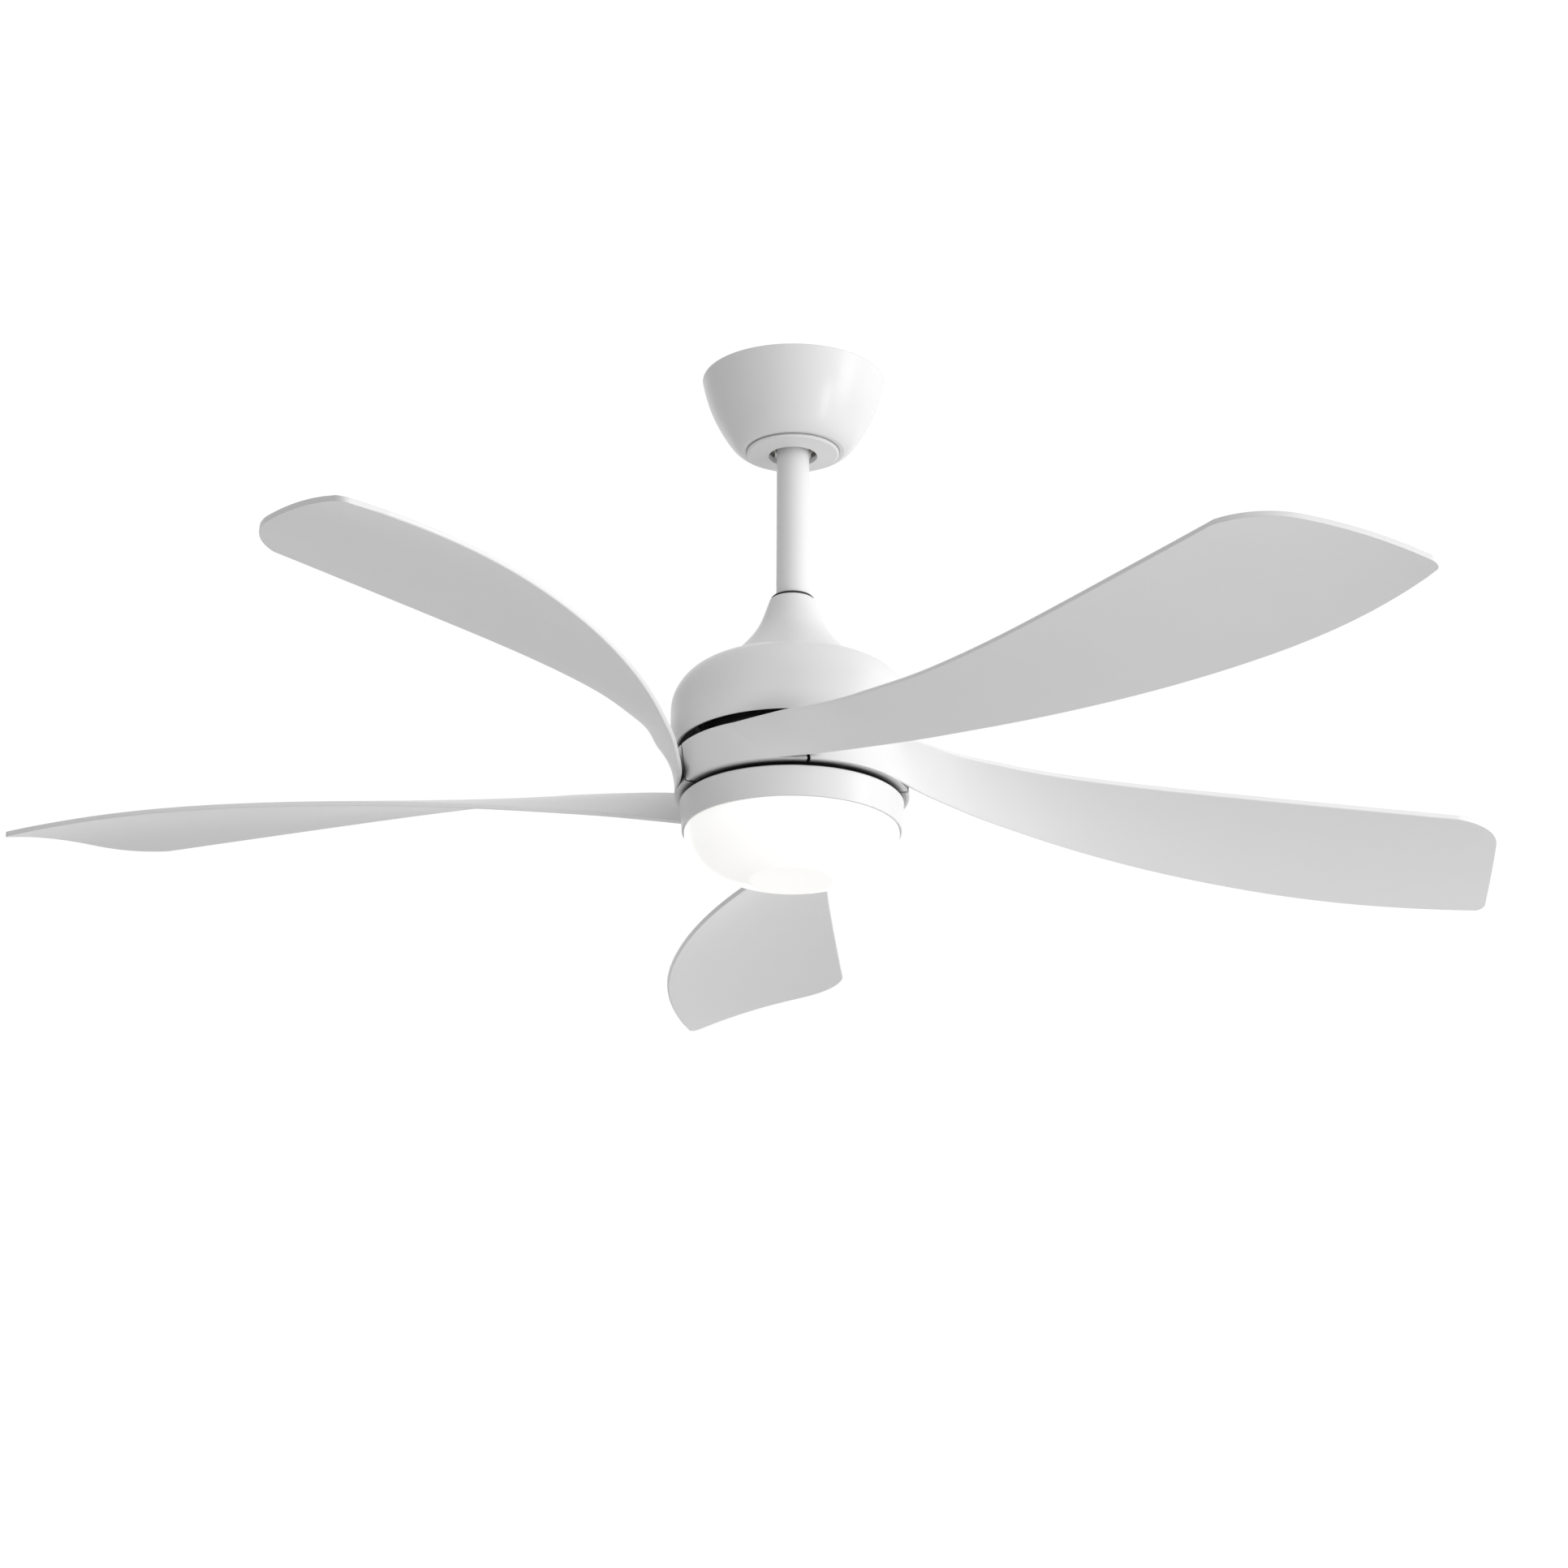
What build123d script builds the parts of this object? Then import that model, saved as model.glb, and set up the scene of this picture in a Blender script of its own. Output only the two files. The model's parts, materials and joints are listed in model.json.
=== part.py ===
from build123d import *

import os
from math import cos, radians, sin

# A five-blade ceiling fan with a light, hung from a ball joint on a short downrod.
# The origin is the middle of the bracket's face on the ceiling, +Z points up, and
# everything hangs below z = 0. Lengths are in millimetres.

# ---------------------------------------------------------------- driving dimensions

sweep_radius = 660.0  # from the axis to the furthest blade corner
blade_count = 5
sheet = 1.2  # pressed steel of the canopy and the covers
play = 0.3  # between curved faces of bodies that move on each other

canopy_radius = 75.0
canopy_floor_z = -62.8
canopy_hole_radius = 30.0
trim_radius = 38.0
trim_hole_radius = 20.0

ball_z = -40.5
ball_radius = 24.0
rod_radius = 13.35
rod_bore_radius = 10.5
rod_top_z = -20.0

cover_top_z = -195.5
cover_top_radius = 18.9
cover_foot_radius = 53.5
housing_top_z = -252.0
housing_radius = 98.2
housing_lip_radius = 93.5
housing_lip_z = -325.0

shaft_radius = 10.0
shaft_bore_radius = 7.6
motor_z = -294.0
motor_case_radius = 72.0

light_top_z = -370.7
light_radius = 90.0
light_height = 25.0
glass_depth = 40.5
glass_radius = 86.4


# ---------------------------------------------------------------- small helpers

def fit(radius):
    """Radius of a hole that takes a pin of this radius."""
    return radius + 0.05


def on_circle(radius, angle):
    """A point on a circle about the Z axis, at an angle in degrees."""
    return (radius * cos(radians(angle)), radius * sin(radians(angle)))


def ring_sectors(inner_radius, outer_radius, angle, count):
    """Equal sectors of a flat ring, spread evenly about the Z axis."""
    with BuildSketch() as one_sector:
        with BuildLine():
            inner = CenterArc((0, 0), inner_radius, -angle / 2, angle)
            outer = CenterArc((0, 0), outer_radius, -angle / 2, angle)
            Line(inner @ 0, outer @ 0)
            Line(inner @ 1, outer @ 1)
        make_face()
    with BuildSketch() as sectors:
        with PolarLocations(0, count):
            add(one_sector.sketch)
    return sectors.sketch


# ---------------------------------------------------------------- ceiling mount

bracket_gauge = 2.5
bracket_half_width = 17.5
flange_half_length = 66.0
leg_inner_x = 34.5
screw_slot_x = 50.0
screw_slot_length = 16.0
screw_slot_radius = 2.8
canopy_screw_x = 31.0
canopy_screw_radius = 1.9
bracket_floor_z = canopy_floor_z + sheet  # underside of the bracket's floor
socket_radius = ball_radius + 2.6
socket_hole_radius = 19.4
socket_lip_angle = 46.0  # from straight down to the lip of the socket
ground_screw_at = (61.0, 10.5)
ground_screw_radius = 2.0

with BuildPart() as ceiling_bracket:
    with BuildSketch(Plane.XZ):
        with Locations((0, -bracket_gauge / 2)):
            Rectangle(2 * flange_half_length, bracket_gauge)
        with Locations((0, bracket_floor_z + bracket_gauge / 2)):
            Rectangle(2 * leg_inner_x + 2 * bracket_gauge, bracket_gauge)
        with Locations((leg_inner_x, bracket_floor_z)):
            Rectangle(bracket_gauge, -bracket_floor_z, align=(Align.MIN, Align.MIN))
        with Locations((-leg_inner_x, bracket_floor_z)):
            Rectangle(bracket_gauge, -bracket_floor_z, align=(Align.MAX, Align.MIN))
    extrude(amount=bracket_half_width, both=True)
    # the spherical socket that the ball sits in
    with BuildSketch(Plane.XZ):
        with BuildLine():
            inner = CenterArc((0, ball_z), socket_radius, socket_lip_angle - 90, 90 - socket_lip_angle)
            outer = CenterArc(
                (0, ball_z), socket_radius + bracket_gauge, socket_lip_angle - 90, 90 - socket_lip_angle
            )
            Line(inner @ 0, outer @ 0)
            Line(inner @ 1, outer @ 1)
        make_face()
    revolve(axis=Axis.Z)
    with BuildSketch(Plane.XY.offset(bracket_floor_z)):
        Circle(socket_hole_radius)
    extrude(amount=bracket_gauge, mode=Mode.SUBTRACT)
    # the open side that lets the rod in below the ball
    with BuildSketch(Plane.XY.offset(bracket_floor_z)):
        with Locations((0, bracket_half_width)):
            Rectangle(2 * rod_radius + 3, 2 * bracket_half_width)
    extrude(amount=ball_z - bracket_floor_z + 1, mode=Mode.SUBTRACT)
    # slots for the ceiling screws, and the ground screw's hole
    with BuildSketch(Plane.XY.offset(-bracket_gauge)):
        with Locations((screw_slot_x, 0), (-screw_slot_x, 0)):
            SlotOverall(screw_slot_length, 2 * screw_slot_radius)
        with Locations(ground_screw_at):
            Circle(fit(ground_screw_radius))
    extrude(amount=bracket_gauge, mode=Mode.SUBTRACT)
    with BuildSketch(Plane.XY.offset(bracket_floor_z)):
        with Locations((canopy_screw_x, 0), (-canopy_screw_x, 0)):
            Circle(fit(canopy_screw_radius))
    extrude(amount=bracket_gauge, mode=Mode.SUBTRACT)

with BuildPart() as canopy:
    with BuildSketch(Plane.XZ):
        with BuildLine():
            wall = Spline(
                (canopy_radius, 0), (69.5, -20.5), (55.3, -49.5), (46.0, -60.5),
                (42.0, canopy_floor_z),
            )
            floor = Line(wall @ 1, (canopy_hole_radius, canopy_floor_z))
            inner_floor = Line(floor @ 1, (canopy_hole_radius, canopy_floor_z + sheet))
            step = Line(inner_floor @ 1, (41.3, canopy_floor_z + sheet))
            inner_wall = Spline(
                step @ 1, (45.1, -59.6), (54.3, -48.8), (68.4, -20.0), (canopy_radius - sheet, 0)
            )
            Line(inner_wall @ 1, wall @ 0)
        make_face()
    revolve(axis=Axis.Z)
    with BuildSketch(Plane.XY.offset(canopy_floor_z)):
        with Locations((canopy_screw_x, 0), (-canopy_screw_x, 0)):
            Circle(canopy_screw_radius + 0.2)
    extrude(amount=sheet, mode=Mode.SUBTRACT)

with BuildPart() as canopy_screws:
    with BuildSketch(Plane.XY.offset(canopy_floor_z)):
        with Locations((canopy_screw_x, 0), (-canopy_screw_x, 0)):
            Circle(canopy_screw_radius)
    extrude(amount=sheet + bracket_gauge + 2)
    with BuildSketch(Plane.XY.offset(canopy_floor_z)):
        with Locations((canopy_screw_x, 0), (-canopy_screw_x, 0)):
            Circle(3.6)
    extrude(amount=-1.6)

with BuildPart() as canopy_trim_ring:
    with BuildSketch(Plane.XZ):
        with BuildLine():
            Polyline(
                (trim_radius, canopy_floor_z),
                (trim_radius, canopy_floor_z - 1.6),
                (trim_radius - 1.6, canopy_floor_z - 2.8),
                (trim_hole_radius, canopy_floor_z - 4.4),
                (trim_hole_radius, canopy_floor_z + 0.6),
                (trim_hole_radius + sheet, canopy_floor_z + 0.6),
                (trim_hole_radius + sheet, canopy_floor_z - 3.1),
                (trim_radius - 2.0, canopy_floor_z - 1.8),
                (trim_radius - sheet, canopy_floor_z - 1.2),
                (trim_radius - sheet, canopy_floor_z),
                close=True,
            )
        make_face()
    revolve(axis=Axis.Z)

with BuildPart() as ground_screw:
    with BuildSketch(Plane.XY.offset(-bracket_gauge)):
        with Locations(ground_screw_at):
            Circle(ground_screw_radius)
    extrude(amount=bracket_gauge - 0.5)
    with BuildSketch(Plane.XY.offset(-bracket_gauge)):
        with Locations(ground_screw_at):
            RegularPolygon(4.0, 6)
    extrude(amount=-2.4)

receiver_size = (58.0, 36.0, 9.5)

with BuildPart(Plane.XY.offset(-bracket_gauge)) as receiver:
    Box(*receiver_size, align=(Align.CENTER, Align.CENTER, Align.MAX))
    fillet(receiver.edges().filter_by(Axis.Z), 3)
    fillet(receiver.faces().sort_by(Axis.Z)[0].edges(), 1.5)

# ---------------------------------------------------------------- ball joint and rod

with BuildPart() as ball_seat:
    with BuildSketch(Plane.XZ):
        with BuildLine():
            inner = CenterArc((0, ball_z), ball_radius + play, -42, 34)
            outer = CenterArc((0, ball_z), socket_radius - play, -42, 34)
            Line(inner @ 0, outer @ 0)
            Line(inner @ 1, outer @ 1)
        make_face()
    revolve(axis=Axis.Z)

cross_pin_radius = 3.0
cross_pin_z = ball_z + 2.0
ball_screw_z = ball_z - 6.0
ball_screw_radius = 2.5
ball_floor = 19.0  # depth of the ball's flat underside below its centre
ball_roof = 9.0

with BuildPart() as hanger_ball:
    with Locations((0, 0, ball_z)):
        Sphere(ball_radius)
    split(bisect_by=Plane.XY.offset(ball_z + ball_roof), keep=Keep.BOTTOM)
    split(bisect_by=Plane.XY.offset(ball_z - ball_floor), keep=Keep.TOP)
    with BuildSketch(Plane.XY.offset(ball_z - ball_floor)):
        Circle(fit(rod_radius))
    extrude(amount=ball_floor + ball_roof, mode=Mode.SUBTRACT)
    with BuildSketch(Plane.YZ):
        with Locations((0, cross_pin_z)):
            Circle(fit(cross_pin_radius))
    extrude(amount=ball_radius, both=True, mode=Mode.SUBTRACT)
    with BuildSketch(Plane.XZ):
        with Locations((0, ball_screw_z)):
            Circle(fit(ball_screw_radius))
    extrude(amount=ball_radius, mode=Mode.SUBTRACT)

with BuildPart() as ball_cross_pin:
    with BuildSketch(Plane.YZ):
        with Locations((0, cross_pin_z)):
            Circle(cross_pin_radius)
    extrude(amount=20, both=True)
    chamfer(ball_cross_pin.edges().filter_by(GeomType.CIRCLE), 0.6)

with BuildPart() as ball_set_screw:
    with BuildSketch(Plane.XZ.offset(fit(rod_radius))):
        with Locations((0, ball_screw_z)):
            Circle(ball_screw_radius)
    extrude(amount=7)
    with BuildSketch(Plane.XZ.offset(fit(rod_radius) + 7)):
        with Locations((0, ball_screw_z)):
            RegularPolygon(1.3, 6)
    extrude(amount=-3, mode=Mode.SUBTRACT)

rod_foot_z = -232.0
clevis_pin_radius = 3.15
clevis_pin_z = -222.0
yoke_screw_z = -213.0
yoke_screw_radius = 2.5
yoke_radius = 18.5

with BuildPart() as downrod:
    with BuildSketch(Plane.XY.offset(rod_foot_z)):
        Circle(rod_radius)
        Circle(rod_bore_radius, mode=Mode.SUBTRACT)
    extrude(amount=rod_top_z - rod_foot_z)
    with BuildSketch(Plane.YZ):
        with Locations((0, cross_pin_z)):
            Circle(fit(cross_pin_radius))
        with Locations((0, clevis_pin_z)):
            Circle(fit(clevis_pin_radius))
    extrude(amount=rod_radius + 1, both=True, mode=Mode.SUBTRACT)
    chamfer(downrod.edges().group_by(Axis.Z)[-1], 0.8)

yoke_flange_radius = 30.0
yoke_web_z = rod_foot_z - 1.0

with BuildPart() as yoke:
    with BuildSketch(Plane.XZ):
        with BuildLine():
            Polyline(
                (fit(rod_radius), -206.0),
                (yoke_radius, -206.0),
                (yoke_radius, -238.0),
                (yoke_flange_radius, -244.0),
                (yoke_flange_radius, housing_top_z),
                (fit(shaft_radius), housing_top_z),
                (fit(shaft_radius), yoke_web_z),
                (fit(rod_radius), yoke_web_z),
                close=True,
            )
        make_face()
    revolve(axis=Axis.Z)
    with BuildSketch(Plane.YZ):
        with Locations((0, clevis_pin_z)):
            Circle(fit(clevis_pin_radius))
    extrude(amount=yoke_radius + 1, both=True, mode=Mode.SUBTRACT)
    with BuildSketch(Plane.XZ):
        with Locations((0, yoke_screw_z)):
            Circle(fit(yoke_screw_radius))
    extrude(amount=yoke_radius + 1, both=True, mode=Mode.SUBTRACT)
    with BuildSketch(Plane.XY.offset(housing_top_z)):
        with PolarLocations(25.0, 4, start_angle=45):
            Circle(2.05)
    extrude(amount=8, mode=Mode.SUBTRACT)

clip_x = 21.0
clip_radius = 4.5
clip_wire_radius = 0.8
clip_z = clevis_pin_z - clip_radius

with BuildPart() as clevis_pin:
    with BuildSketch(Plane.YZ.offset(-yoke_radius)):
        with Locations((0, clevis_pin_z)):
            Circle(clevis_pin_radius)
    extrude(amount=yoke_radius + clip_x + 2)
    with BuildSketch(Plane.YZ.offset(-yoke_radius)):
        with Locations((0, clevis_pin_z)):
            Circle(4.8)
    extrude(amount=-1.6)
    with Locations(Location((clip_x, 0, clip_z), (0, 90, 0))):
        Torus(clip_radius, clip_wire_radius + 0.2, mode=Mode.SUBTRACT)

with BuildPart(Plane((clip_x, 0, clip_z), x_dir=(0, 1, 0), z_dir=(1, 0, 0))) as clevis_clip:
    Torus(clip_radius, clip_wire_radius)

with BuildPart() as yoke_set_screws:
    for side in (1, -1):
        with BuildSketch(Plane.XZ.offset(side * fit(rod_radius))):
            with Locations((0, yoke_screw_z)):
                Circle(yoke_screw_radius)
        extrude(amount=side * 6.5)
        with BuildSketch(Plane.XZ.offset(side * (fit(rod_radius) + 6.5))):
            with Locations((0, yoke_screw_z)):
                RegularPolygon(1.3, 6)
        extrude(amount=-side * 3, mode=Mode.SUBTRACT)

# ---------------------------------------------------------------- covers over the motor

seal_radius = 17.4

with BuildPart() as cover_seal:
    with BuildSketch(Plane.XZ):
        with BuildLine():
            Polyline(
                (rod_radius, cover_top_z + 2.4),
                (seal_radius - 1.0, cover_top_z + 2.4),
                (seal_radius, cover_top_z + 1.4),
                (seal_radius, cover_top_z - 4.0),
                (rod_radius, cover_top_z - 4.0),
                close=True,
            )
        make_face()
    revolve(axis=Axis.Z)

with BuildPart() as coupling_cover:
    with BuildSketch(Plane.XZ):
        with BuildLine():
            flare = Spline(
                (cover_top_radius, cover_top_z - 1.2), (22.9, -208.5), (27.7, -220.0), (36.5, -233.0),
                (cover_foot_radius, housing_top_z + 0.4),
            )
            foot = Line(flare @ 1, (cover_foot_radius - 1.8, housing_top_z + 0.4))
            inner_flare = Spline(
                foot @ 1, (35.4, -234.2), (26.4, -220.6), (21.6, -209.1),
                (cover_top_radius - sheet, cover_top_z - 3.5),
            )
            Polyline(
                inner_flare @ 1,
                (seal_radius, cover_top_z - 3.5),
                (seal_radius, cover_top_z),
                (cover_top_radius - 1.2, cover_top_z),
                flare @ 0,
            )
        make_face()
    revolve(axis=Axis.Z)

with BuildPart() as motor_housing:
    with BuildSketch(Plane.XZ):
        with BuildLine():
            crown = Line((fit(shaft_radius), housing_top_z), (cover_foot_radius + 0.5, housing_top_z))
            dome = Spline(
                crown @ 1, (63.0, -255.3), (77.0, -261.3), (88.5, -269.8), (95.4, -280.5),
                (housing_radius, -298.0), tangents=[(1, -0.12), (0, -1)],
            )
            skirt = Line(dome @ 1, (housing_radius, -309.0))
            turn_in = Spline(skirt @ 1, (housing_lip_radius, housing_lip_z), tangents=[(0, -1), (-0.5, -1)])
            lip = Line(turn_in @ 1, (housing_lip_radius - 2.0, housing_lip_z + 0.6))
            inner_skirt = Spline(lip @ 1, (housing_radius - 1.6, -309.0), tangents=[(0.5, 1), (0, 1)])
            inner_wall = Line(inner_skirt @ 1, (housing_radius - 1.6, -298.0))
            inner_dome = Spline(
                inner_wall @ 1, (93.9, -281.3), (87.4, -271.0), (76.3, -262.8), (62.6, -256.9),
                (cover_foot_radius, housing_top_z - 1.7), tangents=[(0, 1), (-1, 0.12)],
            )
            Polyline(inner_dome @ 1, (fit(shaft_radius), housing_top_z - 1.7), crown @ 0)
        make_face()
    revolve(axis=Axis.Z)
    with BuildSketch(Plane.XY.offset(housing_top_z)):
        with PolarLocations(25.0, 4, start_angle=45):
            Circle(2.2)
    extrude(amount=-1.7, mode=Mode.SUBTRACT)

with BuildPart() as housing_screws:
    with BuildSketch(Plane.XY.offset(housing_top_z - 1.7)):
        with PolarLocations(25.0, 4, start_angle=45):
            Circle(2.0)
    extrude(amount=8.5)
    with BuildSketch(Plane.XY.offset(housing_top_z - 1.7)):
        with PolarLocations(25.0, 4, start_angle=45):
            Circle(3.8)
    extrude(amount=-2.2)

# ---------------------------------------------------------------- motor, fixed side

shaft_top_z = rod_foot_z - 3.0
shaft_foot_z = -379.5
stator_half_height = 12.0
stator_radius = 58.0
tooth_count = 12
coil_half_height = 17.0

with BuildPart() as motor_shaft:
    with BuildSketch(Plane.XY.offset(shaft_foot_z)):
        Circle(shaft_radius)
        Circle(shaft_bore_radius, mode=Mode.SUBTRACT)
    extrude(amount=shaft_top_z - shaft_foot_z)

with BuildPart() as stator_core:
    with BuildSketch(Plane.XY.offset(motor_z - stator_half_height)):
        Circle(30)
        with PolarLocations(0, tooth_count):
            with Locations((40, 0)):
                Rectangle(28, 8)
            with Locations((stator_radius - 2.5, 0)):
                Rectangle(5, 24)
        Circle(stator_radius, mode=Mode.INTERSECT)
        Circle(fit(shaft_radius), mode=Mode.SUBTRACT)
    extrude(amount=2 * stator_half_height)

with BuildPart() as stator_windings:
    with BuildSketch(Plane.XY.offset(motor_z - coil_half_height)):
        with PolarLocations(42, tooth_count):
            Rectangle(20, 14)
            Rectangle(20, 8.2, mode=Mode.SUBTRACT)
    extrude(amount=2 * coil_half_height)
    for end_z in (motor_z + stator_half_height + 0.1, motor_z - coil_half_height):
        with BuildSketch(Plane.XY.offset(end_z)):
            with PolarLocations(42, tooth_count):
                Rectangle(20, 14)
        extrude(amount=coil_half_height - stator_half_height - 0.1)
    # the coils lie apart where they come closest to the shaft
    with BuildSketch(Plane.XY.offset(motor_z - coil_half_height)):
        with PolarLocations(42, tooth_count, start_angle=180 / tooth_count):
            Rectangle(30, 3.0)
    extrude(amount=2 * coil_half_height, mode=Mode.SUBTRACT)

bearing_width = 10.0
bearing_radius = 20.5
bearing_ball_radius = 2.4
bearing_ball_count = 10
bearing_pitch_radius = 15.2
bearing_race_gap = 2.6  # from the pitch circle to either ring
upper_bearing_z = -268.0  # middle of the bearing
lower_bearing_z = -320.0
bearing_levels = (upper_bearing_z, lower_bearing_z)

with BuildPart() as bearing_inner_rings:
    for level in bearing_levels:
        with BuildSketch(Plane.XY.offset(level - bearing_width / 2)):
            Circle(bearing_pitch_radius - bearing_race_gap)
            Circle(fit(shaft_radius), mode=Mode.SUBTRACT)
        extrude(amount=bearing_width)

# ---------------------------------------------------------------- motor, turning side

with BuildPart() as bearing_outer_rings:
    for level in bearing_levels:
        with BuildSketch(Plane.XY.offset(level - bearing_width / 2)):
            Circle(bearing_radius)
            Circle(bearing_pitch_radius + bearing_race_gap, mode=Mode.SUBTRACT)
        extrude(amount=bearing_width)

with BuildPart() as bearing_balls:
    for level in bearing_levels:
        with Locations((0, 0, level)):
            with PolarLocations(bearing_pitch_radius, bearing_ball_count):
                Sphere(bearing_ball_radius)

case_flange_radius = 80.0
case_screw_circle = 76.0
case_screw_count = 6
case_wall = 3.5
case_top_z = motor_z + 26.0
case_foot_z = motor_z - 30.0


def case_half(end_z, boss_z, bearing_z, up):
    """Section of one half of the rotor case, from the joint to its end plate."""
    seat_radius = fit(bearing_radius)
    return Polyline(
        (case_flange_radius, motor_z),
        (case_flange_radius, motor_z + up * 3),
        (motor_case_radius, motor_z + up * 3),
        (motor_case_radius, end_z - up * 3),
        (motor_case_radius - 3, end_z),
        (26.0, end_z),
        (26.0, boss_z),
        (14.0, boss_z),
        (14.0, bearing_z + up * (bearing_width / 2 + 0.05)),
        (seat_radius, bearing_z + up * (bearing_width / 2 + 0.05)),
        (seat_radius, bearing_z - up * bearing_width / 2),
        (24.0, bearing_z - up * bearing_width / 2),
        (24.0, end_z - up * case_wall),
        (motor_case_radius - case_wall, end_z - up * case_wall),
        (motor_case_radius - case_wall, motor_z),
        close=True,
    )


with BuildPart() as rotor_case_top:
    with BuildSketch(Plane.XZ):
        with BuildLine():
            case_half(case_top_z, upper_bearing_z + 7.5, upper_bearing_z, 1)
        make_face()
    revolve(axis=Axis.Z)
    with BuildSketch(Plane.XY.offset(motor_z)):
        with PolarLocations(case_screw_circle, case_screw_count):
            Circle(2.05)
    extrude(amount=3, mode=Mode.SUBTRACT)

hub_screw_circle = 38.0
hub_screw_count = 6
hub_screw_radius = 2.5

with BuildPart() as rotor_case_bottom:
    with BuildSketch(Plane.XZ):
        with BuildLine():
            case_half(case_foot_z, lower_bearing_z - 7.5, lower_bearing_z, -1)
        make_face()
    revolve(axis=Axis.Z)
    with BuildSketch(Plane.XY.offset(motor_z)):
        with PolarLocations(case_screw_circle, case_screw_count):
            Circle(2.05)
    extrude(amount=-3, mode=Mode.SUBTRACT)
    with BuildSketch(Plane.XY.offset(case_foot_z)):
        with PolarLocations(hub_screw_circle, hub_screw_count):
            Circle(fit(hub_screw_radius))
    extrude(amount=case_wall, mode=Mode.SUBTRACT)

with BuildPart() as rotor_case_screws:
    with BuildSketch(Plane.XY.offset(motor_z - 3)):
        with PolarLocations(case_screw_circle, case_screw_count):
            Circle(2.0)
    extrude(amount=6)
    with BuildSketch(Plane.XY.offset(motor_z - 3)):
        with PolarLocations(case_screw_circle, case_screw_count):
            Circle(3.6)
    extrude(amount=-2.5)

magnet_count = 14
magnet_angle = 22.0
magnet_ring = ring_sectors(stator_radius + 3, motor_case_radius - case_wall, magnet_angle, magnet_count)

with BuildPart() as rotor_magnets:
    with BuildSketch(Plane.XY.offset(motor_z - stator_half_height)):
        add(magnet_ring)
    extrude(amount=2 * stator_half_height)

# ---------------------------------------------------------------- blade hub

hub_radius = 84.0
hub_foot_z = light_top_z + 4.7
hub_deck_z = -349.0
hub_boss_radius = 50.0
hub_bore_radius = 28.0
hub_core_radius = 46.0  # inside this the hub is solid
hub_rim_wall = 5.0
hub_hollow = 8.0
hub_screw_recess = 12.0
hub_screw_head_radius = 4.6
tab_thickness = 8.0
tab_middle_radius = 71.0
tab_length = 34.0
tab_width = 36.0
tab_angle = -76.0
tab_screw_radius = 2.2
tab_screw_head_radius = 4.2
tab_screw_spacing = 20.0
tab_screws_at_radius = 66.0
tab_screw_depth = 8.7


def tab_screw_places(angle):
    """Where the two screws of the blade tab at this angle stand."""
    axis_x, axis_y = on_circle(1, angle)
    half = tab_screw_spacing / 2
    middle = (tab_screws_at_radius * axis_x, tab_screws_at_radius * axis_y)
    return [
        (middle[0] - side * half * axis_y, middle[1] + side * half * axis_x) for side in (1, -1)
    ]


blade_angles = [-59.0 + 360.0 / blade_count * index for index in range(blade_count)]
all_tab_screws = [place for angle in blade_angles for place in tab_screw_places(angle + tab_angle)]

with BuildPart() as blade_hub:
    with BuildSketch(Plane.XY.offset(hub_foot_z)):
        Circle(hub_radius)
    extrude(amount=hub_deck_z - hub_foot_z)
    with BuildSketch(Plane.XY.offset(hub_deck_z)):
        Circle(hub_boss_radius)
    extrude(amount=case_foot_z - hub_deck_z)
    with BuildSketch(Plane.XY.offset(hub_foot_z)):
        Circle(hub_bore_radius)
    extrude(amount=case_foot_z - hub_foot_z, mode=Mode.SUBTRACT)
    with BuildSketch(Plane.XY.offset(hub_deck_z)):
        with Locations(*all_tab_screws):
            Circle(fit(tab_screw_radius))
    extrude(amount=-tab_screw_depth, mode=Mode.SUBTRACT)
    # the hub is hollowed from below to save weight
    with BuildSketch(Plane.XY.offset(hub_foot_z)):
        Circle(hub_radius - hub_rim_wall)
        Circle(hub_core_radius, mode=Mode.SUBTRACT)
    extrude(amount=hub_hollow, mode=Mode.SUBTRACT)
    with BuildSketch(Plane.XY.offset(hub_foot_z)):
        with PolarLocations(hub_screw_circle, hub_screw_count):
            Circle(fit(hub_screw_radius))
    extrude(amount=case_foot_z - hub_foot_z, mode=Mode.SUBTRACT)
    with BuildSketch(Plane.XY.offset(hub_foot_z)):
        with PolarLocations(hub_screw_circle, hub_screw_count):
            Circle(hub_screw_head_radius + 0.6)
    extrude(amount=hub_screw_recess, mode=Mode.SUBTRACT)

with BuildPart() as hub_screws:
    with BuildSketch(Plane.XY.offset(hub_foot_z + hub_screw_recess)):
        with PolarLocations(hub_screw_circle, hub_screw_count):
            Circle(hub_screw_radius)
    extrude(amount=case_foot_z - hub_foot_z - hub_screw_recess + case_wall)
    with BuildSketch(Plane.XY.offset(hub_foot_z + hub_screw_recess)):
        with PolarLocations(hub_screw_circle, hub_screw_count):
            Circle(hub_screw_head_radius)
    extrude(amount=-3)

with BuildPart() as blade_screws:
    with BuildSketch(Plane.XY.offset(hub_deck_z - tab_screw_depth)):
        with Locations(*all_tab_screws):
            Circle(tab_screw_radius)
    extrude(amount=tab_screw_depth + tab_thickness)
    with BuildSketch(Plane.XY.offset(hub_deck_z + tab_thickness)):
        with Locations(*all_tab_screws):
            Circle(tab_screw_head_radius)
    extrude(amount=2.6)

# ---------------------------------------------------------------- blades

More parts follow.
